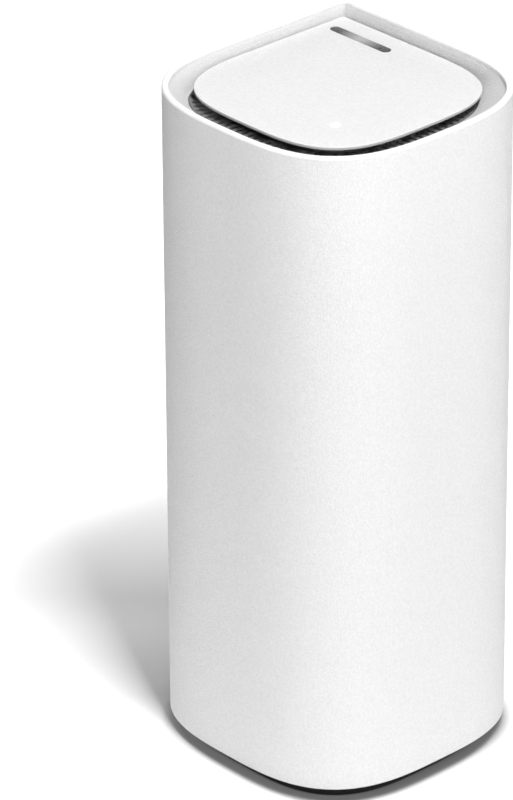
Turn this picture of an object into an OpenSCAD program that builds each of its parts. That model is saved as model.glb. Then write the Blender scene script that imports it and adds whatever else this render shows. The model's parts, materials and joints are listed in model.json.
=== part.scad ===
// Mesh wifi tower: a tall squircle tower with a recessed lid, a vent ring and a rear socket recess.
// Millimetres. Origin on the floor under the centre of the body, +Z up.
// The rounded front corner points to -Y and the sharp rear corner to +Y.

/* [Body] */
// Height from the floor to the top of the rim
height = 221; // [221:1:232]
// Width across the flat sides
side = 95; // [95:1:100]
// Squareness of the three rounded corners, 2 is a circle
squareness = 3; // [2.8:0.1:3.2]
// Radius of the sharp rear corner
rear_radius = 6; // [3:0.5:8]
// Thickness of the shell wall
wall = 2.4; // [2:0.1:2.6]
// Height of the shell's lower edge above the floor
shell_lift = 4; // [3.8:0.1:4.2]

/* [Top] */
// Depth of the lid's top face below the rim
lid_drop = 4.5; // [4:0.1:5]
// Width of the rim's rounded lip
rim_width = 2.1; // [1.9:0.1:2.4]
// Diameter of the status window
window_d = 3; // [2.6:0.1:4]
// Vent slots from the left corner round the front to the right corner
vent_count = 44; // [30:1:48]

/* [Sockets] */
// Network sockets below the internet socket
lan_count = 3; // [1:1:3]
// Travel of the pairing button
pair_travel = 1; // [0.5:0.1:1.2]
// Travel of the reset button
reset_travel = 0.8; // [0.4:0.1:1]
// Turn of the power rocker from on to off, degrees
rocker_turn = 22; // [14:1:24]

/* [Cooling] */
// Width of the square fan
fan_size = 60; // [60:1:60]
// Blades on the fan rotor
blade_count = 7; // [5:1:9]

/* [Hidden] */
half = side / 2;
inner_half = half - wall;
frame_half = inner_half - 0.7;
frame_wall = 1.4;
steps = 26;
tip_steps = 6;
fine = 48;
eps = 0.02;

rim_half = half - rim_width;
mouth_half = rim_half - 6;
mouth_shift = 7;
mouth_side = -1.4;
mouth_z = height - 8.2;
slot_size = [4.4, 1.2];
lid_top = height - lid_drop;
lid_thick = 1;
lid_half = mouth_half - 1;
lid_shift = 7.9;
lid_squareness = 3.26;
neck_half = mouth_half - 5.9;
cup_floor = height - 13.4;
window_y = -19.8;
badge_centre = [5.9, 44.1];
badge_size = [26, 3.6];
light_z = cup_floor + 1.85;
cable_x = [-3.5, 1.5];
cable_y = -23.4;
cable_z = cup_floor - 4;
cable_front = -46;
plug_z = [168, 172];

tray_half = half - 7.1;
tray_shift = -4.6;
tray_floor = 0.5;
tray_top = shell_lift + 1.8;
frame_floor = tray_top + 0.1;
base_screw_xy = 22;
floor_bore_r = 27;
foot_spots = [[0, 0], [0, -36], [36, 0], [-36, 0], [0, 41]];

panel_y = 46.3;
panel_thick = 1.8;
recess_half_x = 16;
recess_z = [10, 168];

board_x = [-8.4, -6.8];
board_y = [-40, 43.4];
board_z = [14, 176];
sink_z = [28, 166];
sink_base = 2.5;
fin_thick = 1.2;
fin_pitch = 6;
sink_screws = [[-33.8, 74], [-33.8, 122], [-3.8, 74], [-3.8, 122]];

rocker_z = 26;
rocker_pivot = [0, 43.6, rocker_z];
dc_z = 46;
usb_z = 62;
lan_z0 = 80;
lan_pitch = 17;
wan_z = 134;
pair_z = 154;
jack_size = [13.5, 21.3, 16];
jack_front = 45.6;
reset_xy = [-3.9, -20];
reset_angle = 360 + atan2(reset_xy[1], reset_xy[0]);

shelf_z = [180, 183];
fan_z = shelf_z[1] + 0.1;
fan_thick = 15;
fan_hole_xy = 25;
fan_lead_xy = [13, -31.5];

white = [0.93, 0.93, 0.93];
black = [0.06, 0.06, 0.065];
dark = [0.12, 0.12, 0.13];
metal = [0.72, 0.73, 0.75];
gold = [0.83, 0.68, 0.3];
green = [0.05, 0.28, 0.16];

// ---- shapes shared by several parts ----

// Power of a number that keeps its sign.
function signed_pow(v, p) = sign(v) * pow(abs(v), p);

// Body outline before it is turned: a rounded tip at (h, h), then a superellipse round the other corners.
function flat_outline(h, n, tip) = concat(
    [for (i = [0:tip_steps]) let (a = 90 * i / tip_steps) [h - tip + tip * cos(a), h - tip + tip * sin(a)]],
    [for (i = [0:3 * steps]) let (a = 90 + 90 * i / steps)
        h * [signed_pow(cos(a), 2 / n), signed_pow(sin(a), 2 / n)]]);

// The outline turned so that the tip points to +Y, moved along Y by dy.
function outline(h, n, tip, dy) =
    [for (p = flat_outline(h, n, tip)) [(p[0] - p[1]) / sqrt(2), (p[0] + p[1]) / sqrt(2) + dy]];

// A straight prism of the body outline.
module slab(h, z0, z1, dy = 0, n = squareness, tip = 4) {
    translate([0, 0, z0]) linear_extrude(z1 - z0) polygon(outline(h, n, tip, dy));
}

// A skin through outlines given as [half width, squareness, tip radius, shift, z], closed at both ends.
module loft(rings) {
    m = tip_steps + 3 * steps + 2;
    top = len(rings) - 1;
    points = [for (r = rings) for (p = outline(r[0], r[1], r[2], r[3]))
        [p[0] + (len(r) > 5 ? r[5] : 0), p[1], r[4]]];
    sides = [for (k = [0:top - 1]) for (i = [0:m - 1])
        let (a = k * m + i, b = k * m + (i + 1) % m) each [[a, a + m, b + m], [a, b + m, b]]];
    ends = [[for (i = [0:m - 1]) i], [for (i = [m - 1:-1:0]) top * m + i]];
    polyhedron(points, concat(sides, ends));
}

// A box between two corners.
module box(a, b) {
    translate(a) cube(b - a);
}

// A cylinder along +Y from y0 to y1, its axis through (x, z).
module rod_y(x, z, y0, y1, r) {
    translate([x, y0, z]) rotate([-90, 0, 0]) cylinder(h = y1 - y0, r = r, $fn = fine);
}

// A cylinder along +X from x0 to x1, its axis through (y, z).
module rod_x(y, z, x0, x1, r) {
    translate([x0, y, z]) rotate([0, 90, 0]) cylinder(h = x1 - x0, r = r, $fn = fine);
}

// A square with round corners.
module rounded_square(size, r) {
    square([size, size - 2 * r], center = true);
    square([size - 2 * r, size], center = true);
    for (x = [-1, 1], y = [-1, 1]) translate([x, y] * (size / 2 - r)) circle(r = r, $fn = fine);
}

// Copies children onto each flat side: local +X points out through the side.
module on_flats(list = [0:3]) {
    for (k = list) rotate([0, 0, 45 + 90 * k]) children();
}

// Copies children to the four screws that hold the base.
module at_base_screws() {
    for (x = [-1, 1], y = [-1, 1]) translate([x, y, 0] * base_screw_xy) children();
}

// Copies children to the four screws that hold the fan.
module at_fan_screws() {
    rotate(45) for (x = [-1, 1], y = [-1, 1]) translate([x, y, 0] * fan_hole_xy) children();
}

// ---- shell, lid and vent ----

// The dished opening in the top of the shell.
module mouth_void() {
    loft([[mouth_half, squareness, 0.5, mouth_shift, cup_floor - 0.1, mouth_side],
          [mouth_half, squareness, 0.5, mouth_shift, mouth_z, mouth_side],
          [rim_half - 0.2, 3.05, 0.7, -0.2, height - 1.8],
          [rim_half, 3.05, 0.9, -0.2, height - 0.7],
          [rim_half + 0.7, 3.05, 1.4, -0.2, height + eps]]);
}

// The hollow of the shell, which follows the underside of the dish.
module shell_void() {
    loft([[inner_half, squareness, 4, 0, shell_lift - 1],
          [inner_half, squareness, 4, 0, height - 17],
          [inner_half - 1.2, squareness, 3, -1.3, height - 14],
          [inner_half - 1.2, squareness, 3, -1.3, height - 7],
          [mouth_half - 1, squareness, 2, 6.4, height - 11.4, mouth_side]]);
}

module outer_shell() {
    color(white) difference() {
        loft([[half - 0.5, squareness, rear_radius, 0, shell_lift],
              [half, squareness, rear_radius, 0, shell_lift + 0.5],
              [half, squareness, rear_radius, 0, height - 1.2],
              [half - 0.35, squareness, rear_radius, 0, height - 0.35],
              [half - 1.2, squareness, rear_radius - 1, 0, height]]);
        mouth_void();
        shell_void();
        box([-recess_half_x, 40, recess_z[0]], [recess_half_x, 80, recess_z[1]]);
    }
}

module top_lid() {
    color(white) difference() {
        union() {
            slab(lid_half, lid_top - lid_thick, lid_top, lid_shift, lid_squareness, 0.6);
            difference() {
                slab(neck_half - 1.7, lid_top - 4, lid_top - lid_thick, mouth_shift, tip = 3);
                slab(neck_half - 3, lid_top - 5, lid_top - lid_thick, mouth_shift, tip = 3);
            }
        }
        translate([0, window_y, 0]) cylinder(h = height, r = window_d / 2 + 0.05, $fn = fine);
        translate([0, 0, lid_top - 0.25]) linear_extrude(1) badge_outline(0.05);
    }
}

// A plain rounded bar beside the rear right edge of the lid.
module badge_outline(gap) {
    r = badge_size[1] / 2;
    straight = badge_size[0] - badge_size[1];
    translate(badge_centre) rotate(-45) {
        square([straight, 2 * (r + gap)], center = true);
        for (x = [-0.5, 0.5] * straight) translate([x, 0]) circle(r = r + gap, $fn = fine);
    }
}

module lid_badge() {
    color(metal) translate([0, 0, lid_top - 0.2]) linear_extrude(0.3) badge_outline(0);
}

module status_window() {
    color([1, 1, 1]) translate([0, window_y, lid_top - lid_thick - 0.4]) union() {
        cylinder(h = lid_thick + 0.4, r = window_d / 2, $fn = fine);
        translate([0, 0, -0.6]) cylinder(h = 0.9, r = window_d / 2 + 1, $fn = fine);
    }
}

// Distance from the centre of a superellipse to its edge at a polar angle.
function reach(a, n) = pow(pow(abs(cos(a)), n) + pow(abs(sin(a)), n), -1 / n);

// One vent slot, square to the ring's edge at polar angle a.
module vent_slot(a) {
    mid = (mouth_half + neck_half) / 2;
    r = mid * reach(a, squareness);
    turn = atan2(signed_pow(sin(a), squareness - 1), signed_pow(cos(a), squareness - 1));
    translate([mouth_side, mouth_shift, cup_floor - 1]) rotate(45) translate([r * cos(a), r * sin(a)]) rotate(turn)
        translate([slot_size[0], slot_size[1], 0] * -0.5) cube([slot_size[0], slot_size[1], 10]);
}

// The slotted ring of the vent, a thin plate that slopes gently inwards, with a skirt under its outer edge.
module vent_dish() {
    difference() {
        loft([[mouth_half - 0.2, squareness, 0.7, mouth_shift, cup_floor, mouth_side],
              [mouth_half - 0.2, squareness, 0.7, mouth_shift, mouth_z - 0.1, mouth_side],
              [neck_half, squareness, 1.5, mouth_shift, mouth_z - 0.4]]);
        loft([[mouth_half - 1.7, squareness, 0.7, mouth_shift, cup_floor - 1, mouth_side],
              [mouth_half - 1.7, squareness, 0.7, mouth_shift, mouth_z - 1.9, mouth_side],
              [neck_half - 0.5, squareness, 1.5, mouth_shift, mouth_z - 2.2]]);
        for (i = [0:vent_count - 1]) vent_slot(139 + 172 * i / (vent_count - 1));
    }
}

module vent_grille() {
    color([0.2, 0.2, 0.21]) difference() {
        union() {
            vent_dish();
            slab(neck_half, cup_floor, lid_top - lid_thick - 0.05, mouth_shift, tip = 3);
        }
        slab(neck_half - 1.5, cup_floor + 1.8, height, mouth_shift, tip = 3);
        box([cable_x[0] - 0.5, cable_y - 0.5, cup_floor - 1],
            [cable_x[1] + 0.5, cable_y + 0.9, cup_floor + 3]);
    }
}

// ---- status light ----

module light_board() {
    color(green) box([-7, window_y - 7, light_z], [7, window_y + 7, light_z + 1]);
}

module status_led() {
    color([1, 1, 0.85]) box([-1.4, window_y - 1.4, light_z + 1], [1.4, window_y + 1.4, light_z + 1.8]);
}

module light_pipe() {
    pipe_top = lid_top - lid_thick - 1.05;
    color([0.95, 0.97, 1]) translate([0, window_y, light_z + 1.9])
        cylinder(h = pipe_top - light_z - 1.9, r1 = 1.9, r2 = 1.5, $fn = fine);
}

// A flat cable: down from the light board, forward over the fan, down past it and back to its plug.
module light_cable() {
    t = 0.4;
    color(black) {
        box([cable_x[0], cable_y, cable_z], [cable_x[1], cable_y + t, light_z]);
        box([cable_x[0], cable_front, cable_z], [cable_x[1], cable_y + t, cable_z + t]);
        box([cable_x[0], cable_front, plug_z[1]], [cable_x[1], cable_front + t, cable_z + t]);
        box([cable_x[0], cable_front, plug_z[1]], [cable_x[1], -35, plug_z[1] + t]);
    }
}

// ---- base ----

module base_tray() {
    color(black) difference() {
        union() {
            slab(tray_half, tray_floor, tray_top - 1.3, tray_shift, tip = 5);
            slab(inner_half - 0.3, shell_lift + 0.3, tray_top, tip = 4);
        }
        difference() {
            slab(tray_half - 3, tray_floor + 2.5, tray_top + 1, tray_shift, tip = 4);
            at_base_screws() cylinder(h = tray_top, r = 5.5, $fn = fine);
            translate(reset_xy) cylinder(h = tray_top - 0.1, r = 4, $fn = fine);
        }
        for (a = [0:10:350]) if (abs(a - reset_angle) > 10)
            rotate(a) box([16, -1.2, 0], [25, 1.2, tray_top + 1]);
        at_base_screws() {
            cylinder(h = tray_top + 1, r = 1.7, $fn = fine);
            translate([0, 0, tray_floor - 1]) cylinder(h = 3.2, r = 3.4, $fn = fine);
        }
        for (p = foot_spots) translate([p[0], p[1], tray_floor - 1]) cylinder(h = 1.7, r = 6.2, $fn = fine);
        translate([reset_xy[0], reset_xy[1], 0]) cylinder(h = tray_top + 1, r = 1.58, $fn = fine);
    }
}

module rubber_feet() {
    color(dark) for (p = foot_spots) translate([p[0], p[1], 0]) {
        cylinder(h = 0.4, r1 = 5.6, r2 = 6, $fn = fine);
        translate([0, 0, 0.4]) cylinder(h = tray_floor + 0.25, r = 6, $fn = fine);
    }
}

// A cross-head screw standing up from z, head below.
module screw_up(z, shank, head_r, shank_r) {
    difference() {
        union() {
            translate([0, 0, z]) cylinder(h = 1.8, r = head_r, $fn = fine);
            translate([0, 0, z + 1]) cylinder(h = shank, r = shank_r, $fn = fine);
        }
        for (a = [0, 90]) rotate(a) translate([-1.4, -0.3, z - 1]) cube([2.8, 0.6, 1.9]);
    }
}

module base_screws() {
    color(metal) at_base_screws() screw_up(tray_floor + 0.35, 7.2, 3.2, 1.45);
}

// ---- inner frame ----

module inner_frame() {
    rail_y = board_y[0] - 0.2;
    color(dark) difference() {
        union() {
            difference() {
                slab(frame_half, frame_floor, shelf_z[1] + 16, tip = 3);
                slab(frame_half - frame_wall, frame_floor + 3, shelf_z[1] + 17, tip = 2);
            }
            slab(frame_half - 0.5, shelf_z[0], shelf_z[1], tip = 3);
            intersection() {
                box([-11, -60, frame_floor], [-4.2, rail_y + 1.6, shelf_z[1]]);
                slab(frame_half - 0.5, frame_floor, shelf_z[1], tip = 3);
            }
        }
        cylinder(h = frame_floor + 3.1, r = floor_bore_r, $fn = 96);
        translate([0, 0, shelf_z[0] - 1]) cylinder(h = 5, r = fan_size / 2 - 1.5, $fn = 96);
        on_flats() for (x = [-1, 1]) box([frame_half - 6, -16, 16], [frame_half + 2, 16, 58]);
        box([-17, 40, frame_floor - 1], [17, 80, 171]);
        box([board_x[0] - 0.15, rail_y, board_z[0]], [board_x[1] + 0.15, 0, board_z[1] + 0.2]);
        at_base_screws() cylinder(h = frame_floor + 4, r = 1.5, $fn = fine);
        at_fan_screws() translate([0, 0, shelf_z[0] - 1]) cylinder(h = 5, r = 1.5, $fn = fine);
        box([cable_x[0] - 0.6, cable_front - 0.6, shelf_z[0] - 1],
            [cable_x[1] + 0.6, cable_front + 1, shelf_z[1] + 1]);
        translate([fan_lead_xy[0], fan_lead_xy[1], shelf_z[0] - 1]) cylinder(h = 5, r = 1.8, $fn = fine);
    }
}

module antennas() {
    color([0.82, 0.8, 0.7]) on_flats() for (z = [72, 124])
        box([frame_half - frame_wall - 1.6, -6, z], [frame_half - frame_wall - 0.8, 6, z + 42]);
}

// A round lead that runs along Z from z0 to z1, turns through a quarter circle and ends at x1.
module bent_lead(x, y, z0, z1, x1, r) {
    bend = 4;
    up = z1 > z0 ? 1 : -1;
    side_sign = x1 > x ? 1 : -1;
    translate([x, y, min(z0, z1 - up * bend)]) cylinder(h = abs(z1 - up * bend - z0), r = r, $fn = 24);
    translate([x + side_sign * bend, y, z1 - up * bend]) rotate([90, 0, 0])
        rotate(side_sign > 0 ? (up > 0 ? 90 : 180) : (up > 0 ? 0 : 270))
            rotate_extrude(angle = 90, $fn = 48) translate([bend, 0]) circle(r = r, $fn = 24);
    rod_x(y, z1, min(x + side_sign * bend, x1), max(x + side_sign * bend, x1), r);
}

// Leads from the antennas: the front pair runs down and the rear pair runs up, then across to the board.
module each_antenna_lead() {
    for (sx = [-1, 1], sy = [-1, 1], k = [0, 1]) {
        start_z = sy < 0 ? [76, 128][k] : [110, 162][k];
        end_z = sy < 0 ? 20 : 171;
        $lead_x = sx * (k == 0 ? 30 : 27.7);
        $lead_y = sy * (k == 0 ? 27.7 : 30);
        $lead_end_x = sx < 0 ? board_x[0] - 1 : board_x[1] + 1;
        $lead_z0 = start_z;
        $lead_z1 = end_z;
        children();
    }
}

module antenna_cables() {
    color(black) each_antenna_lead() bent_lead($lead_x, $lead_y, $lead_z0, $lead_z1, $lead_end_x, 0.55);
}

module cable_plugs() {
    color(gold) each_antenna_lead() {
        x0 = $lead_x < 0 ? board_x[0] - 1 : board_x[1];
        rod_x($lead_y, $lead_z1, x0, x0 + 1, 0.75);
    }
}

// ---- main board and its chips ----

module main_board() {
    color(green) difference() {
        box([board_x[0], board_y[0], board_z[0]], [board_x[1], board_y[1], board_z[1]]);
        for (s = sink_screws) rod_x(s[0], s[1], board_x[0] - 1, board_x[1] + 1, 1.7);
    }
}

// A flat block on the right-hand face of the board, y and z at its centre.
module chip(y, z, w, h, thick) {
    box([board_x[1], y - w / 2, z - h / 2], [board_x[1] + thick, y + w / 2, z + h / 2]);
}

module processor_chip() {
    color(dark) chip(-18, 98, 21, 21, 1.2);
}

module memory_chips() {
    color(dark) for (z = [70, 126]) chip(-18, z, 10, 13, 1.2);
}

module network_transformers() {
    color(black) for (z = [88, 124]) chip(13, z, 12, 24, 6);
}

module power_inductors() {
    color([0.25, 0.25, 0.26]) for (z = [40, 54, 68]) chip(10, z, 10, 10, 4);
}

module capacitors() {
    color(metal) for (z = [32, 44, 56]) rod_x(20, z, board_x[1], board_x[1] + 11, 3.2);
}

module shield_cans() {
    color(metal) for (z = [50, 98, 146])
        box([board_x[0] - 1.4, -22, z - 16], [board_x[0], 22, z + 16]);
}

module thermal_pads() {
    color([0.62, 0.7, 0.78]) {
        box([board_x[1] + 1.2, -28, 62], [board_x[1] + 2.2, -8, 134]);
        for (z = [50, 98, 146])
            box([board_x[0] - 2.2, -18, z - 13], [board_x[0] - 1.4, 18, z + 13]);
    }
}

// Sockets on the board for the flat cable and the fan's lead.
module board_plugs() {
    color(white) {
        box([board_x[1], -38.4, plug_z[0]], [cable_x[1] + 0.3, -34.6, plug_z[1]]);
        box([board_x[1], fan_lead_xy[1] - 2, plug_z[0]], [-2, fan_lead_xy[1] + 2, plug_z[1]]);
    }
}

// ---- heat sinks ----

// Fins stand off a base plate; each one stops short of the round body. dir is the side they point to.
module finned_sink(base_x, dir, y0, y1, screw_r) {
    difference() {
        union() {
            box([min(base_x, base_x + dir * sink_base), y0, sink_z[0]],
                [max(base_x, base_x + dir * sink_base), y1, sink_z[1]]);
            for (y = [y0 + 0.6:fin_pitch:y1 - fin_thick]) {
                tip_x = dir * min(30, 53 - abs(y + fin_thick / 2));
                box([min(base_x + dir, tip_x), y, sink_z[0]],
                    [max(base_x + dir, tip_x), y + fin_thick, sink_z[1]]);
            }
        }
        for (s = sink_screws) rod_x(s[0], s[1], -20, 4, screw_r);
    }
}

module right_heat_sink() {
    color(metal) finned_sink(board_x[1] + 2.2, 1, -38, 2, 1.5);
}

module left_heat_sink() {
    color(metal) finned_sink(board_x[0] - 2.2, -1, -34, 34, 1.4);
}

module heat_sink_screws() {
    x = board_x[1] + 2.2 + sink_base;
    color(dark) for (s = sink_screws) difference() {
        union() {
            rod_x(s[0], s[1], x + 0.02, x + 1.8, 2.2);
            rod_x(s[0], s[1], board_x[0] - 4.5, x + 1, 1.35);
        }
        translate([x + 1.2, s[0], s[1]])
            for (a = [0, 90]) rotate([a, 0, 0]) cube([2, 0.6, 2.6], center = true);
    }
}

// ---- rear sockets ----

module port_panel() {
    color(black) difference() {
        intersection() {
            box([0.1 - recess_half_x, panel_y - panel_thick, recess_z[0] + 0.1],
                [recess_half_x - 0.1, 80, recess_z[1] - 0.1]);
            slab(half - 0.3, 0, height, tip = rear_radius);
        }
        box([1.7 - recess_half_x, panel_y, recess_z[0] + 1.7], [recess_half_x - 1.7, 80, recess_z[1] - 1.7]);
        box([-6.6, 40, rocker_z - 9.6], [6.6, 80, rocker_z + 9.6]);
        rod_y(0, dc_z, 40, 80, 4.7);
        box([-3.1, 40, usb_z - 6.8], [3.1, 80, usb_z + 6.8]);
        for (z = jack_heights) box([-7, 40, z - 8.2], [6.9, 80, z + 8.2]);
        rod_y(0, pair_z, 40, 80, 5.08);
    }
}

lan_heights = [for (i = [0:lan_count - 1]) lan_z0 + lan_pitch * i];
jack_heights = concat(lan_heights, [wan_z]);

module jack_shells() {
    color(metal) for (z = jack_heights) difference() {
        box([board_x[1], jack_front - jack_size[1], z - 8], [board_x[1] + jack_size[0], jack_front, z + 8]);
        box([board_x[1] + 0.4, jack_front - jack_size[1] + 0.4, z - 7.6],
            [board_x[1] + jack_size[0] - 0.4, jack_front + 1, z + 7.6]);
    }
}

// The plastic inside one network socket, with its stepped plug opening and two pockets for its lights.
module jack_liner(z) {
    difference() {
        box([-6.35, jack_front - jack_size[1] + 0.45, z - 7.55], [6.25, jack_front - 0.1, z + 7.55]);
        box([-4.2, 32, z - 5.95], [3.2, 60, z + 5.95]);
        box([3.1, 32, z - 3.1], [4.6, 60, z + 3.1]);
        box([4.5, 32, z - 1.7], [5.7, 60, z + 1.7]);
        for (s = [-1, 1]) box([3.95, 43.9, z + s * 5.4 - 1.65], [6.15, 60, z + s * 5.4 + 1.65]);
    }
}

module lan_liners() {
    color(dark) for (z = lan_heights) jack_liner(z);
}

module internet_liner() {
    color([0.1, 0.3, 0.7]) jack_liner(wan_z);
}

module jack_contacts() {
    color(gold) for (z = jack_heights, i = [0:7])
        translate([-4, 34, z + (i - 3.5) * 1.02 - 0.2]) rotate([0, 0, -12]) cube([0.35, 8.6, 0.4]);
}

module jack_lights() {
    color([0.75, 0.85, 0.5]) for (z = jack_heights, s = [-1, 1])
        box([4, 43.95, z + s * 5.4 - 1.6], [6.1, jack_front - 0.1, z + s * 5.4 + 1.6]);
}

module usb_shell() {
    color(metal) difference() {
        box([-2.9, 31, usb_z - 6.6], [2.9, 46.2, usb_z + 6.6]);
        box([-2.55, 31.5, usb_z - 6.25], [2.55, 60, usb_z + 6.25]);
    }
}

module usb_insert() {
    color([0.1, 0.25, 0.6]) {
        box([-1.7, 32, usb_z - 5.5], [0.1, 45, usb_z + 5.5]);
        box([-2.5, 31.55, usb_z - 6.2], [2.5, 32.1, usb_z + 6.2]);
    }
}

module usb_riser() {
    color(black) box([board_x[1], 32, usb_z - 5.5], [-2.92, 44, usb_z + 5.5]);
}

module power_jack() {
    color(black) difference() {
        union() {
            box([board_x[1], 31, dc_z - 5.2], [5, 44.3, dc_z + 5.2]);
            rod_y(0, dc_z, 44, 45.9, 4.5);
        }
        rod_y(0, dc_z, 33, 60, 3.15);
    }
}

module power_pin() {
    color(metal) rod_y(0, dc_z, 33.02, 44.6, 1);
}

// ---- power rocker ----

module rocker_housing() {
    color(black) difference() {
        union() {
            box([-6.4, 29, rocker_z - 9.4], [6.4, panel_y + 0.5, rocker_z + 9.4]);
            box([-7.6, panel_y + 0.02, rocker_z - 10.6], [7.6, panel_y + 1.2, rocker_z + 10.6]);
        }
        box([-5, 36, rocker_z - 8.7], [5, 60, rocker_z + 8.7]);
        rod_x(rocker_pivot[1], rocker_z, -6, 6, 1.25);
    }
}

// Two brass tabs from the back of the housing to the board.
module rocker_terminals() {
    color(gold) for (z = [-4, 4]) translate([0, 0, rocker_z + z]) {
        box([1.2, 27.1, -1], [2, 28.98, 1]);
        box([board_x[1], 27.1, -1], [2, 27.9, 1]);
    }
}

module power_rocker() {
    upper = [[3.9, 0], [5.5, 7.2], [4.6, 7.5], [-1.5, 5.4], [-3.4, 0]];
    lower = [[-1.5, -5.4], [4.6, -7.5], [5.5, -7.2]];
    color(dark) translate(rocker_pivot) rotate([rocker_turn / 2, 0, 0]) {
        translate([-4.85, 0, 0]) rotate([90, 0, 90]) linear_extrude(9.7) polygon(concat(upper, lower));
        rod_x(0, 0, -5.8, 5.8, 1.2);
    }
}

// ---- buttons and their switches ----

module pair_button() {
    color([0.75, 0.76, 0.78]) {
        rod_y(0, pair_z, 43.2, 47, 5);
        rod_y(0, pair_z, 43, 44.4, 6.2);
        rod_y(0, pair_z, 34.6, 43.5, 1.5);
    }
}

module pair_switch() {
    color(dark) difference() {
        box([board_x[1], 30, pair_z - 3.5], [3.5, 35.4, pair_z + 3.5]);
        rod_y(0, pair_z, 34.5 - pair_travel, 40, 1.58);
    }
}

module reset_button() {
    color([0.7, 0.1, 0.08]) translate([reset_xy[0], reset_xy[1], 0]) {
        translate([0, 0, 2]) cylinder(h = 5, r = 1.5, $fn = fine);
        translate([0, 0, tray_top + 0.1]) cylinder(h = 1, r = 2.6, $fn = fine);
        translate([0, 0, 6]) cylinder(h = 9.5, r = 1, $fn = fine);
    }
}

module reset_switch() {
    color(dark) difference() {
        box([board_x[1], reset_xy[1] - 3.5, 14.5], [-1, reset_xy[1] + 3.5, 20.5]);
        translate([reset_xy[0], reset_xy[1], 13]) cylinder(h = 2.6 + reset_travel, r = 1.08, $fn = fine);
    }
}

// ---- fan ----

module fan_frame() {
    s = fan_size / 2;
    color(black) translate([0, 0, fan_z]) difference() {
        union() {
            difference() {
                rotate(45) linear_extrude(fan_thick) rounded_square(fan_size, 3);
                translate([0, 0, -1]) cylinder(h = fan_thick + 2, r = s - 1.2, $fn = 96);
            }
            cylinder(h = 2, r = 12, $fn = 64);
            cylinder(h = 9, r = 4, $fn = fine);
            for (a = [0:90:270]) rotate(a + 20) box([10, -1.3, 0], [s - 0.8, 1.3, 2]);
        }
        translate([0, 0, 1]) cylinder(h = 10, r = 1.55, $fn = fine);
        at_fan_screws() translate([0, 0, -1]) cylinder(h = fan_thick + 2, r = 2.1, $fn = fine);
    }
}

module fan_rotor() {
    color(dark) translate([0, 0, fan_z]) {
        difference() {
            translate([0, 0, 3]) cylinder(h = 11, r = 12, $fn = 64);
            translate([0, 0, 2]) cylinder(h = 10, r = 10.4, $fn = 64);
        }
        translate([0, 0, 1.4]) cylinder(h = 11, r = 1.5, $fn = fine);
        intersection() {
            for (i = [0:blade_count - 1]) rotate(360 * i / blade_count)
                translate([11, 0, 8.4]) rotate([38, 0, 0]) cube([36, 15.5, 1.1], center = true);
            difference() {
                translate([0, 0, 3.4]) cylinder(h = 10, r = fan_size / 2 - 2.2, $fn = 96);
                translate([0, 0, 3]) cylinder(h = 12, r = 11.6, $fn = 64);
            }
        }
    }
}

module fan_lead() {
    color(black) bent_lead(fan_lead_xy[0], fan_lead_xy[1], fan_z + 6, plug_z[0] + 2, -1.98, 0.9);
}

module fan_screws() {
    z = fan_z + fan_thick + 0.02;
    color(metal) at_fan_screws() translate([0, 0, z])
        mirror([0, 0, 1]) translate([0, 0, -1.8]) screw_up(0, fan_thick + 2.6, 3, 1.45);
}

outer_shell();
top_lid();
lid_badge();
status_window();
vent_grille();
light_board();
status_led();
light_pipe();
light_cable();
base_tray();
rubber_feet();
base_screws();
inner_frame();
antennas();
antenna_cables();
cable_plugs();
board_plugs();
main_board();
processor_chip();
memory_chips();
network_transformers();
power_inductors();
capacitors();
shield_cans();
thermal_pads();
right_heat_sink();
left_heat_sink();
heat_sink_screws();
port_panel();
jack_shells();
lan_liners();
internet_liner();
jack_contacts();
jack_lights();
usb_shell();
usb_insert();
usb_riser();
power_jack();
power_pin();
rocker_housing();
rocker_terminals();
power_rocker();
pair_button();
pair_switch();
reset_button();
reset_switch();
fan_frame();
fan_rotor();
fan_lead();
fan_screws();
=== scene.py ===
import json
import math

import bmesh
import bpy
from mathutils import Matrix, Vector


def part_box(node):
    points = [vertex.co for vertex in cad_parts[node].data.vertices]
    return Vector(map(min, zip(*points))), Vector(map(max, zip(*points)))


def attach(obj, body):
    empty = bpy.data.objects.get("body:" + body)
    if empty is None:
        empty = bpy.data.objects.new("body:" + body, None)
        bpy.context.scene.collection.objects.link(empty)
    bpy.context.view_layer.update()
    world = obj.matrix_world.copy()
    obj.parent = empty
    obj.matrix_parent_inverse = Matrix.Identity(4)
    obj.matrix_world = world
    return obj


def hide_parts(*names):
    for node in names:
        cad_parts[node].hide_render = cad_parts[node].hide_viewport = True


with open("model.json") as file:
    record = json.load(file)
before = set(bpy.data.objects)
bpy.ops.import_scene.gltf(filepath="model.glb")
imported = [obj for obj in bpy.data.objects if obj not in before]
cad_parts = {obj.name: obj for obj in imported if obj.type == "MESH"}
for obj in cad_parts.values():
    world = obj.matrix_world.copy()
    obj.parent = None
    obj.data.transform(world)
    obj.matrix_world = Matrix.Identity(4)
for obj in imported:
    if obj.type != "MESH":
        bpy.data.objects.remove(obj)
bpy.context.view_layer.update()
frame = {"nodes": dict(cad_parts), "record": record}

# ---- sizes, in millimetres, worked out from the frame ----

MM = 0.001
SQUARENESS = 3.0                     # power of the shell's outline: 2 is a circle, more is squarer
CORNER_REACH = 2 ** (1 / 6)          # a corner of that outline stands this much further out than a side
shell_low, shell_high = (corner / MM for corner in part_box("outer_shell"))
lid_low, lid_high = (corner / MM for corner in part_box("top_lid"))
panel_low, panel_high = (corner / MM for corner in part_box("port_panel"))
window_low, window_high = (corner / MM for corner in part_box("status_window"))
badge_low, badge_high = (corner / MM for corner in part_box("lid_badge"))

HEIGHT = shell_high.z
HALF = shell_high.x / CORNER_REACH
WALL = 2.4
RIM_WIDTH = 2.1
REAR_RADIUS = 6.0
INNER_HALF = HALF - WALL
RIM_HALF = HALF - RIM_WIDTH

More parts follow.
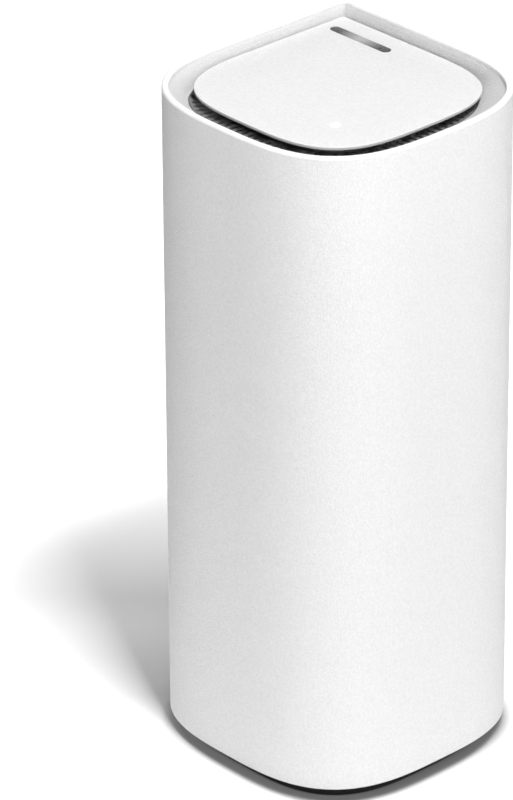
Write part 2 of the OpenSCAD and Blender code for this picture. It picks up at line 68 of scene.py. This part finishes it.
# The funnel's lower edge is nearer to the rear, and a little to the left.
MOUTH_HALF = RIM_HALF - 6.0
MOUTH_SHIFT = 7.0
MOUTH_SIDE = -1.4
MOUTH_Z = HEIGHT - 8.2
MOUTH_TIP = 0.7

LID_HALF = MOUTH_HALF - 1.0
LID_SHIFT = 7.9
LID_SQUARENESS = 3.26
LID_GAP = 0.3                        # between lid and funnel, round the rear half
WINDOW = Vector((0, (window_low.y + window_high.y) / 2))
WINDOW_RADIUS = (window_high.x - window_low.x) / 2
WINDOW_FLANGE = 1.0

# The opening in the shell for the rear panel, 0.1 mm larger than the panel.
CUT_X = panel_high.x + 0.1
CUT_Z = (panel_low.z - 0.1, panel_high.z + 0.1)
CUT_ROWS = 8


# ---- outlines and ring surfaces ----

TIP_STEPS = 8
NEAR_STEPS = 4
FAR_STEPS = 8
ROUND_STEP = 2                       # degrees


def turned(u, v, shift):
    """A point of the flat outline turned so that its sharp corner points to +Y."""
    return ((u - v) / math.sqrt(2), (u + v) / math.sqrt(2) + shift)


def outline(half, squareness=SQUARENESS, tip=4.0, shift=0.0):
    """The body outline, anticlockwise from the right of its rear tip, which has the radius given by tip.

    Straight sides run from the tip to the widest places, with a point at each side of the rear cut. The rest
    is a superellipse.
    """
    points = []
    for i in range(TIP_STEPS + 1):
        a = math.radians(90 * i / TIP_STEPS)
        points.append(turned(half - tip + tip * math.cos(a), half - tip + tip * math.sin(a), shift))
    tip_x = tip / math.sqrt(2)
    side_x = half / math.sqrt(2)
    straight = [tip_x + (CUT_X - tip_x) * k / NEAR_STEPS for k in range(1, NEAR_STEPS + 1)]
    straight += [CUT_X + (side_x - CUT_X) * k / FAR_STEPS for k in range(1, FAR_STEPS + 1)]
    for x in straight:
        points.append(turned(half - math.sqrt(2) * x, half, shift))
    for degrees in range(90 + ROUND_STEP, 360, ROUND_STEP):
        a = math.radians(degrees)
        c, s = abs(math.cos(a)), abs(math.sin(a))
        r = half / (c ** squareness + s ** squareness) ** (1 / squareness)
        points.append(turned(r * math.cos(a), r * math.sin(a), shift))
    for x in reversed(straight):
        points.append(turned(half, half - math.sqrt(2) * x, shift))
    return points


COLUMNS = len(outline(HALF))
CUT_COLUMNS = [j for j, p in enumerate(outline(HALF)) if abs(p[0]) < CUT_X + 0.01 and p[1] > 0]


def ring(half, z, squareness=SQUARENESS, tip=4.0, shift=0.0, side=0.0):
    """One ring of points at height z, moved back by shift and to the right by side."""
    return [Vector((x + side, y, z)) for x, y in outline(half, squareness, tip, shift)]


def round_ring(centre, radius, z, directions):
    """A circle of points at height z, one in each direction from the centre."""
    return [Vector((centre.x + radius * d.x, centre.y + radius * d.y, z)) for d in directions]


def fillet(centre_half, centre_z, radius, first, last, steps, **shape):
    """Rings round a quarter turn of a rounded edge; angles in degrees, 0 outwards and 90 up."""
    rings = []
    for i in range(steps + 1):
        a = math.radians(first + (last - first) * i / steps)
        rings.append(ring(centre_half + radius * math.cos(a), centre_z + radius * math.sin(a), **shape))
    return rings


def between(a, b, t):
    """The ring part of the way from ring a to ring b."""
    return [p.lerp(q, t) for p, q in zip(a, b)]


def add_rings(bm, rings, closed=True, skip=None):
    """Adds a quad skin over the rings, without the faces that skip names, and returns the rings' vertices."""
    rows = [[bm.verts.new(p * MM) for p in r] for r in rings]
    count = len(rings[0])
    last = len(rows) if closed else len(rows) - 1
    for i in range(last):
        low, high = rows[i], rows[(i + 1) % len(rows)]
        for j in range(count):
            k = (j + 1) % count
            if skip and skip(i, j):
                continue
            bm.faces.new((low[j], low[k], high[k], high[j]))
    return rows


def make_object(name, bm, smooth_angle=40):
    """Turns the bmesh into an object with outward normals and smooth shading below the given angle."""
    bmesh.ops.recalc_face_normals(bm, faces=bm.faces)
    if bm.calc_volume(signed=True) < 0:
        bmesh.ops.reverse_faces(bm, faces=bm.faces)
    mesh = bpy.data.meshes.new(name)
    bm.to_mesh(mesh)
    bm.free()
    mesh.shade_smooth()
    mesh.set_sharp_from_angle(angle=math.radians(smooth_angle))
    piece = bpy.data.objects.new(name, mesh)
    bpy.context.scene.collection.objects.link(piece)
    return piece


# ---- shader nodes ----

def place(tree):
    """The object's own coordinates, in metres."""
    return tree.nodes.new("ShaderNodeTexCoord").outputs["Object"]


def surface(tree, fact):
    """A fact about the shaded point: its Normal, its Pointiness, or whether it is Backfacing."""
    return tree.nodes.new("ShaderNodeNewGeometry").outputs[fact]


def part_of(tree, vector, axis):
    """The X, Y or Z part of a vector socket."""
    node = tree.nodes.new("ShaderNodeSeparateXYZ")
    tree.links.new(vector, node.inputs[0])
    return node.outputs[axis]


def distance_from(tree, point):
    """The distance from a point, both in metres."""
    node = tree.nodes.new("ShaderNodeVectorMath")
    node.operation = "DISTANCE"
    tree.links.new(place(tree), node.inputs[0])
    node.inputs[1].default_value = point
    return node.outputs["Value"]


def texture(tree, kind, scale, stretch=None, **inputs):
    """The value of a texture in object space; stretch scales the space along each axis first."""
    vector = place(tree)
    if stretch:
        mapping = tree.nodes.new("ShaderNodeMapping")
        mapping.inputs["Scale"].default_value = stretch
        tree.links.new(vector, mapping.inputs["Vector"])
        vector = mapping.outputs["Vector"]
    node = tree.nodes.new("ShaderNodeTex" + kind)
    tree.links.new(vector, node.inputs["Vector"])
    node.inputs["Scale"].default_value = scale
    for key, value in inputs.items():
        node.inputs[key].default_value = value
    return node.outputs[0]


def calculate(tree, operation, first, second):
    """The sum, maximum or other result of two value sockets."""
    node = tree.nodes.new("ShaderNodeMath")
    node.operation = operation
    tree.links.new(first, node.inputs[0])
    tree.links.new(second, node.inputs[1])
    return node.outputs["Value"]


def remap(tree, value, low, high, to_low=0, to_high=1):
    """The value moved from one range to another, clamped."""
    node = tree.nodes.new("ShaderNodeMapRange")
    tree.links.new(value, node.inputs["Value"])
    for key, number in (("From Min", low), ("From Max", high), ("To Min", to_low), ("To Max", to_high)):
        node.inputs[key].default_value = number
    return node.outputs["Result"]


def blend(tree, factor, first, second):
    """Two value sockets mixed by a factor socket."""
    node = tree.nodes.new("ShaderNodeMix")
    for socket, value in ((0, factor), (2, first), (3, second)):
        tree.links.new(value, node.inputs[socket])
    return node.outputs[0]


def mix(tree, factor, first, second):
    """Two colours, or colour sockets, mixed by a factor socket."""
    node = tree.nodes.new("ShaderNodeMix")
    node.data_type = "RGBA"
    tree.links.new(factor, node.inputs["Factor"])
    for socket, colour in ((node.inputs[6], first), (node.inputs[7], second)):
        if hasattr(colour, "is_linked"):
            tree.links.new(colour, socket)
        else:
            socket.default_value = (*colour, 1)
    return node.outputs[2]


def bump(tree, shader, height, depth, strength, under=None):
    """Bump of the given depth in millimetres, on top of an earlier bump if one is given."""
    node = tree.nodes.new("ShaderNodeBump")
    node.inputs["Strength"].default_value = strength
    node.inputs["Distance"].default_value = depth * MM
    tree.links.new(height, node.inputs["Height"])
    if under:
        tree.links.new(under, node.inputs["Normal"])
    tree.links.new(node.outputs["Normal"], shader.inputs["Normal"])
    return node.outputs["Normal"]


def edges(tree):
    """0 on flat places and 1 on sharp outward edges."""
    return remap(tree, surface(tree, "Pointiness"), 0.52, 0.62)


def shade(colour, factor):
    """The colour made lighter or darker, up to full white."""
    return tuple(min(1.0, c * factor) for c in colour)


# ---- materials ----

MATERIALS = {}
MOTTLE_SCALE = 1300
SCRATCH_SCALE = 900
# painted highlight: the white of the rim's bright lip
PAINTED_HIGHLIGHT_WHITE = (0.92, 0.92, 0.92)
HIGHLIGHT_FADE = 0.15                   # millimetres each side of the painted highlight band's lower edge


def add_material(name, look, *values, **options):
    """Makes a node material, lets the look function fill it in, and keeps it in MATERIALS."""
    material = bpy.data.materials.new(name)
    material.use_nodes = True
    look(material.node_tree, material.node_tree.nodes["Principled BSDF"], *values, **options)
    MATERIALS[name] = material


def plastic(tree, shader, colour, roughness, grain, depth, variation, wear,
            bright_above=None, side_shade=1.0):
    """Moulded plastic with a spark-eroded grain, faintly mottled, with edges rubbed lighter by wear.

    The grain is a noise scale, and its depth is in millimetres. Above a given height, also in millimetres, a
    painted highlight makes the plastic a brighter white. Faces that do not look up are darkened by painted
    shade where a side shade below 1 is given.
    """
    mottle = remap(tree, texture(tree, "Noise", MOTTLE_SCALE, Detail=1), 0.3, 0.7)
    base = mix(tree, mottle, shade(colour, 1 - variation), shade(colour, 1 + variation))
    base = mix(tree, edges(tree), base, shade(colour, 1 + wear))
    # painted shade: faces that do not look up are darkened
    if side_shade < 1:
        upward = remap(tree, part_of(tree, surface(tree, "Normal"), "Z"), 0.4, 0.7)
        base = mix(tree, upward, shade(colour, side_shade), base)
    # painted highlight: a band of brighter white above the given height
    if bright_above:
        height = part_of(tree, place(tree), "Z")
        painted_highlight = remap(tree, height, (bright_above - HIGHLIGHT_FADE) * MM, (bright_above + HIGHLIGHT_FADE) * MM)
        base = mix(tree, painted_highlight, base, PAINTED_HIGHLIGHT_WHITE)
    tree.links.new(base, shader.inputs["Base Color"])
    shader.inputs["Specular IOR Level"].default_value = 0.35 if colour[0] > 0.1 else 0.15
    fine = texture(tree, "Noise", grain, Detail=2, Roughness=0.6)
    coarse = texture(tree, "Noise", grain / 5, Detail=2)
    spread = remap(tree, fine, 0.3, 0.7, roughness - 0.05, roughness + 0.05)
    tree.links.new(spread, shader.inputs["Roughness"])
    waves = bump(tree, shader, coarse, depth * 0.1, 0.5)
    bump(tree, shader, fine, depth, 0.8, under=waves)


def metal(tree, shader, colour, roughness, stretch, depth=0.006):
    """Metal with drawn or rolled lines along one axis, and dulled patches."""
    shader.inputs["Metallic"].default_value = 1
    lines = texture(tree, "Noise", SCRATCH_SCALE, stretch=stretch, Detail=3)
    patch = texture(tree, "Noise", 60, Detail=4)
    base = mix(tree, remap(tree, patch, 0.35, 0.7), shade(colour, 0.9), colour)
    tree.links.new(mix(tree, edges(tree), base, shade(colour, 1.15)), shader.inputs["Base Color"])
    dull = remap(tree, patch, 0.3, 0.7, roughness * 0.8, roughness * 1.3)
    tree.links.new(dull, shader.inputs["Roughness"])
    bump(tree, shader, lines, depth, 0.7)


def rubber(tree, shader, colour, roughness):
    """Matt rubber with a dusty bloom."""
    dust = remap(tree, texture(tree, "Noise", 90, Detail=5), 0.45, 0.75, 0, 0.6)
    grain = texture(tree, "Noise", 2200, Detail=1)
    tree.links.new(mix(tree, dust, colour, shade(colour, 2.2)), shader.inputs["Base Color"])
    shader.inputs["Roughness"].default_value = roughness
    shader.inputs["Sheen Weight"].default_value = 0.15
    bump(tree, shader, grain, 0.02, 0.6)


def circuit_board(tree, shader, mask, copper):
    """Solder mask over copper: lighter tracks and pads show through the mask."""
    cells = texture(tree, "Voronoi", 240, Randomness=0.35)
    waves = texture(tree, "Wave", 260, stretch=(1, 0.4, 1), Distortion=6, Detail=1)
    pads = remap(tree, cells, 0.16, 0.2, 1, 0)
    tracks = remap(tree, waves, 0.55, 0.62)
    base = mix(tree, tracks, mask, shade(mask, 1.7))
    tree.links.new(mix(tree, pads, base, copper), shader.inputs["Base Color"])
    tree.links.new(remap(tree, pads, 0, 1, 0, 0.9), shader.inputs["Metallic"])
    shader.inputs["Roughness"].default_value = 0.32
    shader.inputs["Coat Weight"].default_value = 0.4
    bump(tree, shader, tracks, 0.03, 0.6)


def clear_plastic(tree, shader, colour, glow, roughness=0.15):
    """Clear or frosted plastic, which glows where it carries light."""
    haze = texture(tree, "Noise", 400, Detail=3)
    tree.links.new(mix(tree, haze, colour, shade(colour, 0.93)), shader.inputs["Base Color"])
    tree.links.new(remap(tree, haze, 0.3, 0.7, roughness, roughness + 0.12), shader.inputs["Roughness"])
    shader.inputs["Transmission Weight"].default_value = 0.35
    shader.inputs["Emission Color"].default_value = (*colour, 1)
    shader.inputs["Emission Strength"].default_value = glow
    bump(tree, shader, haze, 0.01, 0.4)


def badge_metal(tree, shader):
    """Satin chrome that is lighter in the middle of the bar and darker towards its ends."""
    lines = texture(tree, "Noise", 700, stretch=(1, 1, 8), Detail=2)
    towards_end = remap(tree, distance_from(tree, (badge_low + badge_high) / 2 * MM), 0.001, 0.009)
    tone = mix(tree, towards_end, (0.55, 0.55, 0.56), (0.12, 0.12, 0.125))
    tree.links.new(tone, shader.inputs["Base Color"])
    shader.inputs["Metallic"].default_value = 0.35
    tree.links.new(remap(tree, lines, 0.3, 0.7, 0.25, 0.4), shader.inputs["Roughness"])
    bump(tree, shader, lines, 0.004, 0.5)


# The shell's white has a painted highlight on the rim's lip, in its top 0.8 mm.
add_material("white_plastic", plastic, (0.72, 0.72, 0.72), 0.6, 2100, 0.43, 0.04, 0.04,
             bright_above=HEIGHT - 0.8)
# The lid's plastic has painted shade on its sides.
add_material("lid_plastic", plastic, (0.732, 0.732, 0.732), 0.55, 2100, 0.3, 0.04, 0.04, side_shade=0.62)
add_material("grille_plastic", plastic, (0.12, 0.12, 0.122), 0.5, 1300, 0.03, 0.06, 0.4)
add_material("black_plastic", plastic, (0.022, 0.022, 0.024), 0.42, 1300, 0.02, 0.1, 0.8)
add_material("dark_plastic", plastic, (0.045, 0.045, 0.048), 0.5, 1100, 0.02, 0.08, 0.6)
add_material("chip", plastic, (0.03, 0.03, 0.032), 0.6, 1700, 0.015, 0.1, 0.6)
add_material("ferrite", plastic, (0.07, 0.07, 0.075), 0.7, 700, 0.05, 0.15, 0.6)
add_material("blue_plastic", plastic, (0.02, 0.09, 0.42), 0.42, 1200, 0.015, 0.05, 0.4)
add_material("button", plastic, (0.42, 0.43, 0.45), 0.4, 1500, 0.015, 0.03, 0.2)
add_material("red_plastic", plastic, (0.45, 0.02, 0.015), 0.42, 1300, 0.015, 0.05, 0.4)
add_material("socket_plastic", plastic, (0.75, 0.72, 0.62), 0.5, 1300, 0.015, 0.04, 0.2)
add_material("polished_metal", badge_metal)
add_material("steel", metal, (0.5, 0.5, 0.51), 0.3, (12, 1, 1))
add_material("aluminium", metal, (0.72, 0.73, 0.75), 0.38, (1, 1, 0.05), 0.01)
add_material("tinned", metal, (0.63, 0.63, 0.62), 0.3, (1, 1, 14))
add_material("brass", metal, (0.85, 0.62, 0.25), 0.22, (1, 14, 1))
add_material("rubber", rubber, (0.02, 0.02, 0.021), 0.75)
add_material("cable", rubber, (0.015, 0.015, 0.016), 0.5)
add_material("pad", rubber, (0.33, 0.42, 0.55), 0.8)
add_material("board", circuit_board, (0.012, 0.085, 0.045), (0.75, 0.58, 0.28))
add_material("antenna_board", circuit_board, (0.42, 0.36, 0.18), (0.8, 0.5, 0.3))
add_material("window_plastic", clear_plastic, (1.0, 1.0, 1.0), 0.8, 0.3)
add_material("led", clear_plastic, (1.0, 0.95, 0.8), 3.0)
add_material("light_pipe", clear_plastic, (0.97, 0.98, 1.0), 0.6, 0.05)
add_material("jack_light", clear_plastic, (0.62, 0.72, 0.35), 0.1)
SLOT = {part["node"]: part["material_slot"] for part in frame["record"]["subparts"]}
BODY = {node: body for body, nodes in frame["record"]["behaviour"]["bodies"].items() for node in nodes}


def finish_piece(piece, node):
    """Gives a new piece the material and the body of the CAD node that it replaces."""
    piece.data.materials.clear()
    piece.data.materials.append(MATERIALS[SLOT[node]])
    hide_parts(node)
    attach(piece, BODY[node])


for node, cad in frame["nodes"].items():
    cad.data.materials.clear()
    cad.data.materials.append(MATERIALS[SLOT[node]])


# ---- shell ----

FOOT_RADIUS = 0.6
LIP_RADIUS = 0.7
RIM_RADIUS = 0.4
RIM_SHAPE = dict(squareness=3.05, tip=1.2, shift=-0.2)
RIM_DEPTH = 1.4                      # how far the lip's inner side runs straight down
FUNNEL_STEPS = 10
CUT_EDGE_RADIUS = 0.35
BLEND_START = 7                      # along Y, where the funnel's edge starts to close in on the lid
BLEND_LENGTH = 12


def mouth_edge(gap, z):
    """The funnel's lower edge: open round the front for the vent, and close round the lid at the rear."""
    vent = ring(MOUTH_HALF + gap, z, tip=MOUTH_TIP, shift=MOUTH_SHIFT, side=MOUTH_SIDE)
    snug = ring(LID_HALF + LID_GAP + gap, z, LID_SQUARENESS, MOUTH_TIP, LID_SHIFT)
    points = []
    for p, q in zip(vent, snug):
        t = min(1, max(0, (p.y - BLEND_START) / BLEND_LENGTH))
        points.append(p.lerp(q, t * t * (3 - 2 * t)))
    return points


def funnel():
    """Rings from the rim down the funnel, round its lower edge and back out under it to the inner wall."""
    top = ring(RIM_HALF - 0.2, HEIGHT - RIM_DEPTH - 0.4, **RIM_SHAPE)
    bottom = mouth_edge(0.2, MOUTH_Z + 0.1)
    underside = [Vector((p.x, p.y, HEIGHT - 10 - 0.05 * p.y)) for p in ring(INNER_HALF, 0)]
    rings = [ring(RIM_HALF, HEIGHT - RIM_DEPTH, **RIM_SHAPE)]
    rings += [between(top, bottom, k / FUNNEL_STEPS) for k in range(FUNNEL_STEPS + 1)]
    rings += [mouth_edge(gap, z) for gap, z in ((0.06, MOUTH_Z), (0, MOUTH_Z - 0.15), (0, HEIGHT - 10.6))]
    return rings + [underside]


def close_cut(bm, outer, inner):
    """Joins outer and inner wall round the cut, and rounds the cut's outer edges."""
    border = set()
    for j in CUT_COLUMNS:
        k = (j + 1) % COLUMNS
        if k in CUT_COLUMNS:
            for i in (0, CUT_ROWS):
                bm.faces.new((outer[i][j], outer[i][k], inner[i][k], inner[i][j]))
                border |= {outer[i][j], outer[i][k]}
        if k not in CUT_COLUMNS or (j - 1) % COLUMNS not in CUT_COLUMNS:
            for i in range(CUT_ROWS):
                bm.faces.new((outer[i][j], outer[i + 1][j], inner[i + 1][j], inner[i][j]))
                border |= {outer[i][j], outer[i + 1][j]}
    corners = [edge for edge in bm.edges if set(edge.verts) <= border and edge.calc_face_angle(0) > 0.6]
    bmesh.ops.bevel(bm, geom=corners, offset=CUT_EDGE_RADIUS * MM, segments=2, affect="EDGES",
                    clamp_overlap=True)


def build_shell():
    """The tall skin: outer wall, rounded rim, funnel and inner wall, cut open at the rear."""
    levels = [CUT_Z[0] + (CUT_Z[1] - CUT_Z[0]) * k / CUT_ROWS for k in range(CUT_ROWS + 1)]
    rings = fillet(HALF - FOOT_RADIUS, shell_low.z + FOOT_RADIUS, FOOT_RADIUS, -90, 0, 4, tip=REAR_RADIUS)
    first_outer = len(rings)
    rings += [ring(HALF, z, tip=REAR_RADIUS) for z in levels]
    rings += fillet(HALF - LIP_RADIUS, HEIGHT - LIP_RADIUS, LIP_RADIUS, 0, 90, 6, tip=REAR_RADIUS)
    rings += fillet(RIM_HALF + RIM_RADIUS, HEIGHT - RIM_RADIUS, RIM_RADIUS, 90, 180, 5, **RIM_SHAPE)
    rings += funnel()
    first_inner = len(rings)
    rings += [ring(INNER_HALF, z) for z in reversed(levels)]
    rings += [ring(INNER_HALF, shell_low.z)]

    def in_cut(i, j):
        in_rows = any(first <= i < first + CUT_ROWS for first in (first_outer, first_inner))
        return in_rows and j in CUT_COLUMNS and (j + 1) % COLUMNS in CUT_COLUMNS

    bm = bmesh.new()
    rows = add_rings(bm, rings, skip=in_cut)
    outer = rows[first_outer:first_outer + CUT_ROWS + 1]
    inner = rows[first_inner:first_inner + CUT_ROWS + 1][::-1]
    close_cut(bm, outer, inner)
    finish_piece(make_object("shell_skin", bm, 50), "outer_shell")


build_shell()


# ---- lid, window and badge ----

LID_EDGE = 0.2
LID_THICK = 1.0
RIB_HALVES = (31.8, 30.5)            # outer and inner half size of the rib that locates the lid
BADGE_RADIUS = 1.8


def build_lid():
    """The flat lid with a softly rounded edge, a round hole for the status window and a rib underneath."""
    top = lid_high.z
    bottom = top - LID_THICK
    shape = dict(squareness=LID_SQUARENESS, tip=1.0, shift=LID_SHIFT)
    rings = fillet(LID_HALF - LID_EDGE, top - LID_EDGE, LID_EDGE, 90, 0, 5, **shape)
    rings += fillet(LID_HALF - LID_EDGE, bottom + LID_EDGE, LID_EDGE, 0, -90, 3, **shape)
    directions = [(Vector(point) - WINDOW).normalized() for point in outline(LID_HALF, **shape)]
    chamfer = 0.15
    hole_radius = WINDOW_RADIUS - WINDOW_FLANGE + 0.05
    hole_top = round_ring(WINDOW, hole_radius + chamfer, top, directions)
    rings += [round_ring(WINDOW, hole_radius, z, directions) for z in (bottom, top - chamfer)]
    rings += [hole_top]
    rings += [between(hole_top, rings[0], t) for t in (0.3, 0.65)]
    bm = bmesh.new()
    add_rings(bm, rings)
    rib_out, rib_in = RIB_HALVES
    rib = [(rib_out, bottom), (rib_out, lid_low.z), (rib_in, lid_low.z), (rib_in, bottom)]
    add_rings(bm, [ring(half, z, tip=3, shift=MOUTH_SHIFT) for half, z in rib])
    finish_piece(make_object("lid_panel", bm, 35), "top_lid")


def build_window():
    """The status window: a low dome with a flange under the lid."""
    top = window_high.z
    flange_z = window_low.z + 0.9
    neck = WINDOW_RADIUS - WINDOW_FLANGE
    profile = [(0.02, top + 0.05), (WINDOW_RADIUS * 0.3, top + 0.04), (neck - 0.35, top + 0.02),
               (neck - 0.1, top - 0.05), (neck, top - 0.2), (neck, flange_z),
               (WINDOW_RADIUS, flange_z), (WINDOW_RADIUS, window_low.z), (0.02, window_low.z)]
    angles = [math.tau * k / 48 for k in range(48)]
    directions = [Vector((math.cos(a), math.sin(a))) for a in angles]
    bm = bmesh.new()
    add_rings(bm, [round_ring(WINDOW, radius, z, directions) for radius, z in profile])
    finish_piece(make_object("status_lens", bm, 50), "status_window")


def badge_ring(inset, z):
    """The badge's outline, a bar with round ends that runs along the right rear side, drawn in by inset."""
    centre = (badge_low + badge_high) / 2
    half_bar = ((badge_high - badge_low).x - 2 * BADGE_RADIUS) / math.sqrt(2)
    points = []
    for k in range(64):
        a = math.tau * k / 64
        u = math.copysign(half_bar, math.cos(a)) + (BADGE_RADIUS - inset) * math.cos(a)
        v = (BADGE_RADIUS - inset) * math.sin(a)
        points.append(Vector((centre.x + (u + v) / math.sqrt(2), centre.y + (v - u) / math.sqrt(2), z)))
    return points


def build_badge():
    """A plain bar of polished_metal, with round ends and softened top edges, sunk into the lid."""
    top = badge_high.z
    profile = [(0, badge_low.z), (0, top - 0.12), (0.05, top - 0.04), (0.15, top),
               (BADGE_RADIUS * 0.6, top + 0.03), (BADGE_RADIUS - 0.02, top + 0.04)]
    bm = bmesh.new()
    rows = add_rings(bm, [badge_ring(inset, z) for inset, z in profile], closed=False)
    bm.faces.new(rows[0])
    bm.faces.new(rows[-1])
    finish_piece(make_object("badge_bar", bm, 35), "lid_badge")


build_lid()
build_window()
build_badge()


# ---- CAD shapes with softened edges ----

SHARP_ANGLE = 35                     # degrees; sharper edges are rounded
EDGE_WIDTHS = {
    "base_tray": 0.3, "rubber_feet": 0.2, "base_screws": 0.1, "port_panel": 0.25, "jack_shells": 0.06,
    "lan_liners": 0.12, "internet_liner": 0.12, "jack_lights": 0.1, "usb_shell": 0.08, "usb_insert": 0.1,
    "power_jack": 0.25, "power_pin": 0.2, "rocker_housing": 0.3, "power_rocker": 0.35, "pair_button": 0.3,
    "reset_button": 0.15, "fan_frame": 0.3, "fan_rotor": 0.15, "main_board": 0.1, "processor_chip": 0.15,
    "memory_chips": 0.12, "network_transformers": 0.3, "power_inductors": 0.5, "capacitors": 0.3,
    "shield_cans": 0.3, "vent_grille": 0.1, "right_heat_sink": 0.12, "left_heat_sink": 0.12,
    "board_plugs": 0.2,
}


def rounded(node, width):
    """Replaces a CAD node by a copy with rounded edges.

    Its flat facets are merged and cut into as few triangles as they need, so that no face spans an opening.
    """
    bm = bmesh.new()
    bm.from_mesh(frame["nodes"][node].data)
    bmesh.ops.remove_doubles(bm, verts=bm.verts, dist=0.002 * MM)
    bmesh.ops.dissolve_limit(bm, angle_limit=math.radians(0.5), verts=bm.verts, edges=bm.edges)
    bmesh.ops.triangulate(bm, faces=bm.faces)
    piece = make_object(node + "_form", bm, SHARP_ANGLE)
    bevel = piece.modifiers.new("edges", "BEVEL")
    bevel.width = width * MM
    bevel.segments = 2
    bevel.limit_method = "ANGLE"
    bevel.angle_limit = math.radians(SHARP_ANGLE)
    bevel.harden_normals = True
    finish_piece(piece, node)


for node, width in EDGE_WIDTHS.items():
    rounded(node, width)


# ---- floor ----

FLOOR_HALF = 6                       # metres
PAINTED_SHADOW_REACH = 6 * MM               # how far from a foot or edge the painted contact shadow reaches
LOWER_LEFT = (-0.11, -0.07, 0)       # metres


def floor_glow(tree, openness, outside_painted_shadow):
    """The strength of the floor's own light.

    The camera sees a glow that fades the shadow out behind the object and far from it. Other rays see one
    that is strongest at the lower left and lights the sides from below. Under the object, in the painted
    contact shadow, hardly any is left.
    """
    y = part_of(tree, place(tree), "Y")
    near_rear = remap(tree, y, 0.012, 0.055, 0, 0.2)
    far_rear = remap(tree, y, 0.075, 0.145, 0, 0.4)
    around = remap(tree, distance_from(tree, (0, 0, 0)), 0.15, 0.5, 0, 0.6)
    seen = calculate(tree, "MAXIMUM", calculate(tree, "ADD", near_rear, far_rear), around)
    cast = remap(tree, distance_from(tree, LOWER_LEFT), 0.04, 0.25, 0.4, 0.12)
    camera_ray = tree.nodes.new("ShaderNodeLightPath").outputs["Is Camera Ray"]
    # painted contact shadow: inside it the glow drops to a faint even level, and to none under the feet
    beneath = remap(tree, openness, 0.1, 0.3, 0, 0.14)
    return blend(tree, outside_painted_shadow, beneath, blend(tree, camera_ray, cast, seen))


def clear_from_below(tree, shader):
    """Makes the side that looks down fully transparent."""
    sides = tree.nodes.new("ShaderNodeMixShader")
    clear = tree.nodes.new("ShaderNodeBsdfTransparent")
    tree.links.new(surface(tree, "Backfacing"), sides.inputs[0])
    tree.links.new(shader.outputs["BSDF"], sides.inputs[1])
    tree.links.new(clear.outputs["BSDF"], sides.inputs[2])
    tree.links.new(sides.outputs["Shader"], tree.nodes["Material Output"].inputs["Surface"])


def pale_floor(tree, shader):
    """A pale matt floor with a painted contact shadow: it turns black right where the object stands on it."""
    cloud = texture(tree, "Noise", 3, Detail=2)
    pale = mix(tree, cloud, (0.92, 0.92, 0.92), (0.94, 0.94, 0.94))
    corner = tree.nodes.new("ShaderNodeAmbientOcclusion")
    corner.samples = 16
    corner.inputs["Distance"].default_value = PAINTED_SHADOW_REACH
    openness = corner.outputs["AO"]
    # painted contact shadow: the floor goes black where ambient occlusion finds the object close
    outside_painted_shadow = remap(tree, openness, 0.6, 0.92)
    tree.links.new(mix(tree, outside_painted_shadow, (0, 0, 0), pale), shader.inputs["Base Color"])
    shader.inputs["Roughness"].default_value = 0.9
    shader.inputs["Specular IOR Level"].default_value = 0.1
    shader.inputs["Emission Color"].default_value = (1, 1, 1, 1)
    tree.links.new(floor_glow(tree, openness, outside_painted_shadow), shader.inputs["Emission Strength"])
    clear_from_below(tree, shader)


def build_floor():
    """A floor under the feet, large enough to fill the view."""
    bm = bmesh.new()
    bmesh.ops.create_grid(bm, x_segments=4, y_segments=4, size=FLOOR_HALF)
    floor = make_object("studio_floor", bm)
    add_material("studio_floor", pale_floor)
    floor.data.materials.append(MATERIALS["studio_floor"])


# ---- light and camera ----

LIGHT_DISTANCE = 1.8                 # metres


def from_object(azimuth, elevation):
    """The direction, as a unit vector, at an azimuth that turns from -Y towards +X; angles in radians."""
    level = math.cos(elevation)
    return Vector((math.sin(azimuth) * level, -math.cos(azimuth) * level, math.sin(elevation)))


def soft_light(name, azimuth, elevation, size, power):
    """A square light that shines on the origin; angles in degrees, size in metres and power in watts."""
    direction = from_object(math.radians(azimuth), math.radians(elevation))
    data = bpy.data.lights.new(name, "AREA")
    data.size = size
    data.energy = power
    lamp = bpy.data.objects.new(name, data)
    lamp.location = direction * LIGHT_DISTANCE
    lamp.rotation_mode = "QUATERNION"
    lamp.rotation_quaternion = direction.to_track_quat("Z", "Y")
    bpy.context.scene.collection.objects.link(lamp)


def build_camera():
    """The camera looks down on the front corner from a long way off."""
    azimuth, elevation, roll = (math.radians(angle) for angle in (2.586, 27.30, -0.38))
    middle = Vector((0, 0, 110))
    distance = 1782.6
    right_shift = -25.09
    up_shift = 3.08
    back = from_object(azimuth, elevation)
    right = (-back).cross(Vector((0, 0, 1))).normalized()
    up = right.cross(-back)
    rolled_right = right * math.cos(roll) + up * math.sin(roll)
    rolled_up = -right * math.sin(roll) + up * math.cos(roll)
    data = bpy.data.cameras.new("camera")
    data.sensor_width = 36
    data.lens = 257.54
    data.clip_end = 50
    camera = bpy.data.objects.new("camera", data)
    spot = middle + back * distance + rolled_right * right_shift + rolled_up * up_shift
    axes = Matrix((rolled_right, rolled_up, back)).transposed().to_4x4()
    camera.matrix_world = Matrix.Translation(spot * MM) @ axes
    bpy.context.scene.collection.objects.link(camera)
    bpy.context.scene.camera = camera


def build_world():
    """A faint even white light from all sides."""
    world = bpy.data.worlds.new("studio")
    world.use_nodes = True
    world.node_tree.nodes["Background"].inputs["Color"].default_value = (1, 1, 1, 1)
    world.node_tree.nodes["Background"].inputs["Strength"].default_value = 0.15
    bpy.context.scene.world = world
    bpy.context.scene.view_settings.view_transform = "Standard"


build_floor()
soft_light("key", 25, 65, 0.3, 27)
soft_light("front", 2, 38, 0.9, 5)
soft_light("left_high", -60, 60, 0.9, 2.2)
soft_light("right", 52, 28, 0.9, 4.1)
soft_light("back", 180, 12, 0.9, 4.5)
build_camera()
build_world()
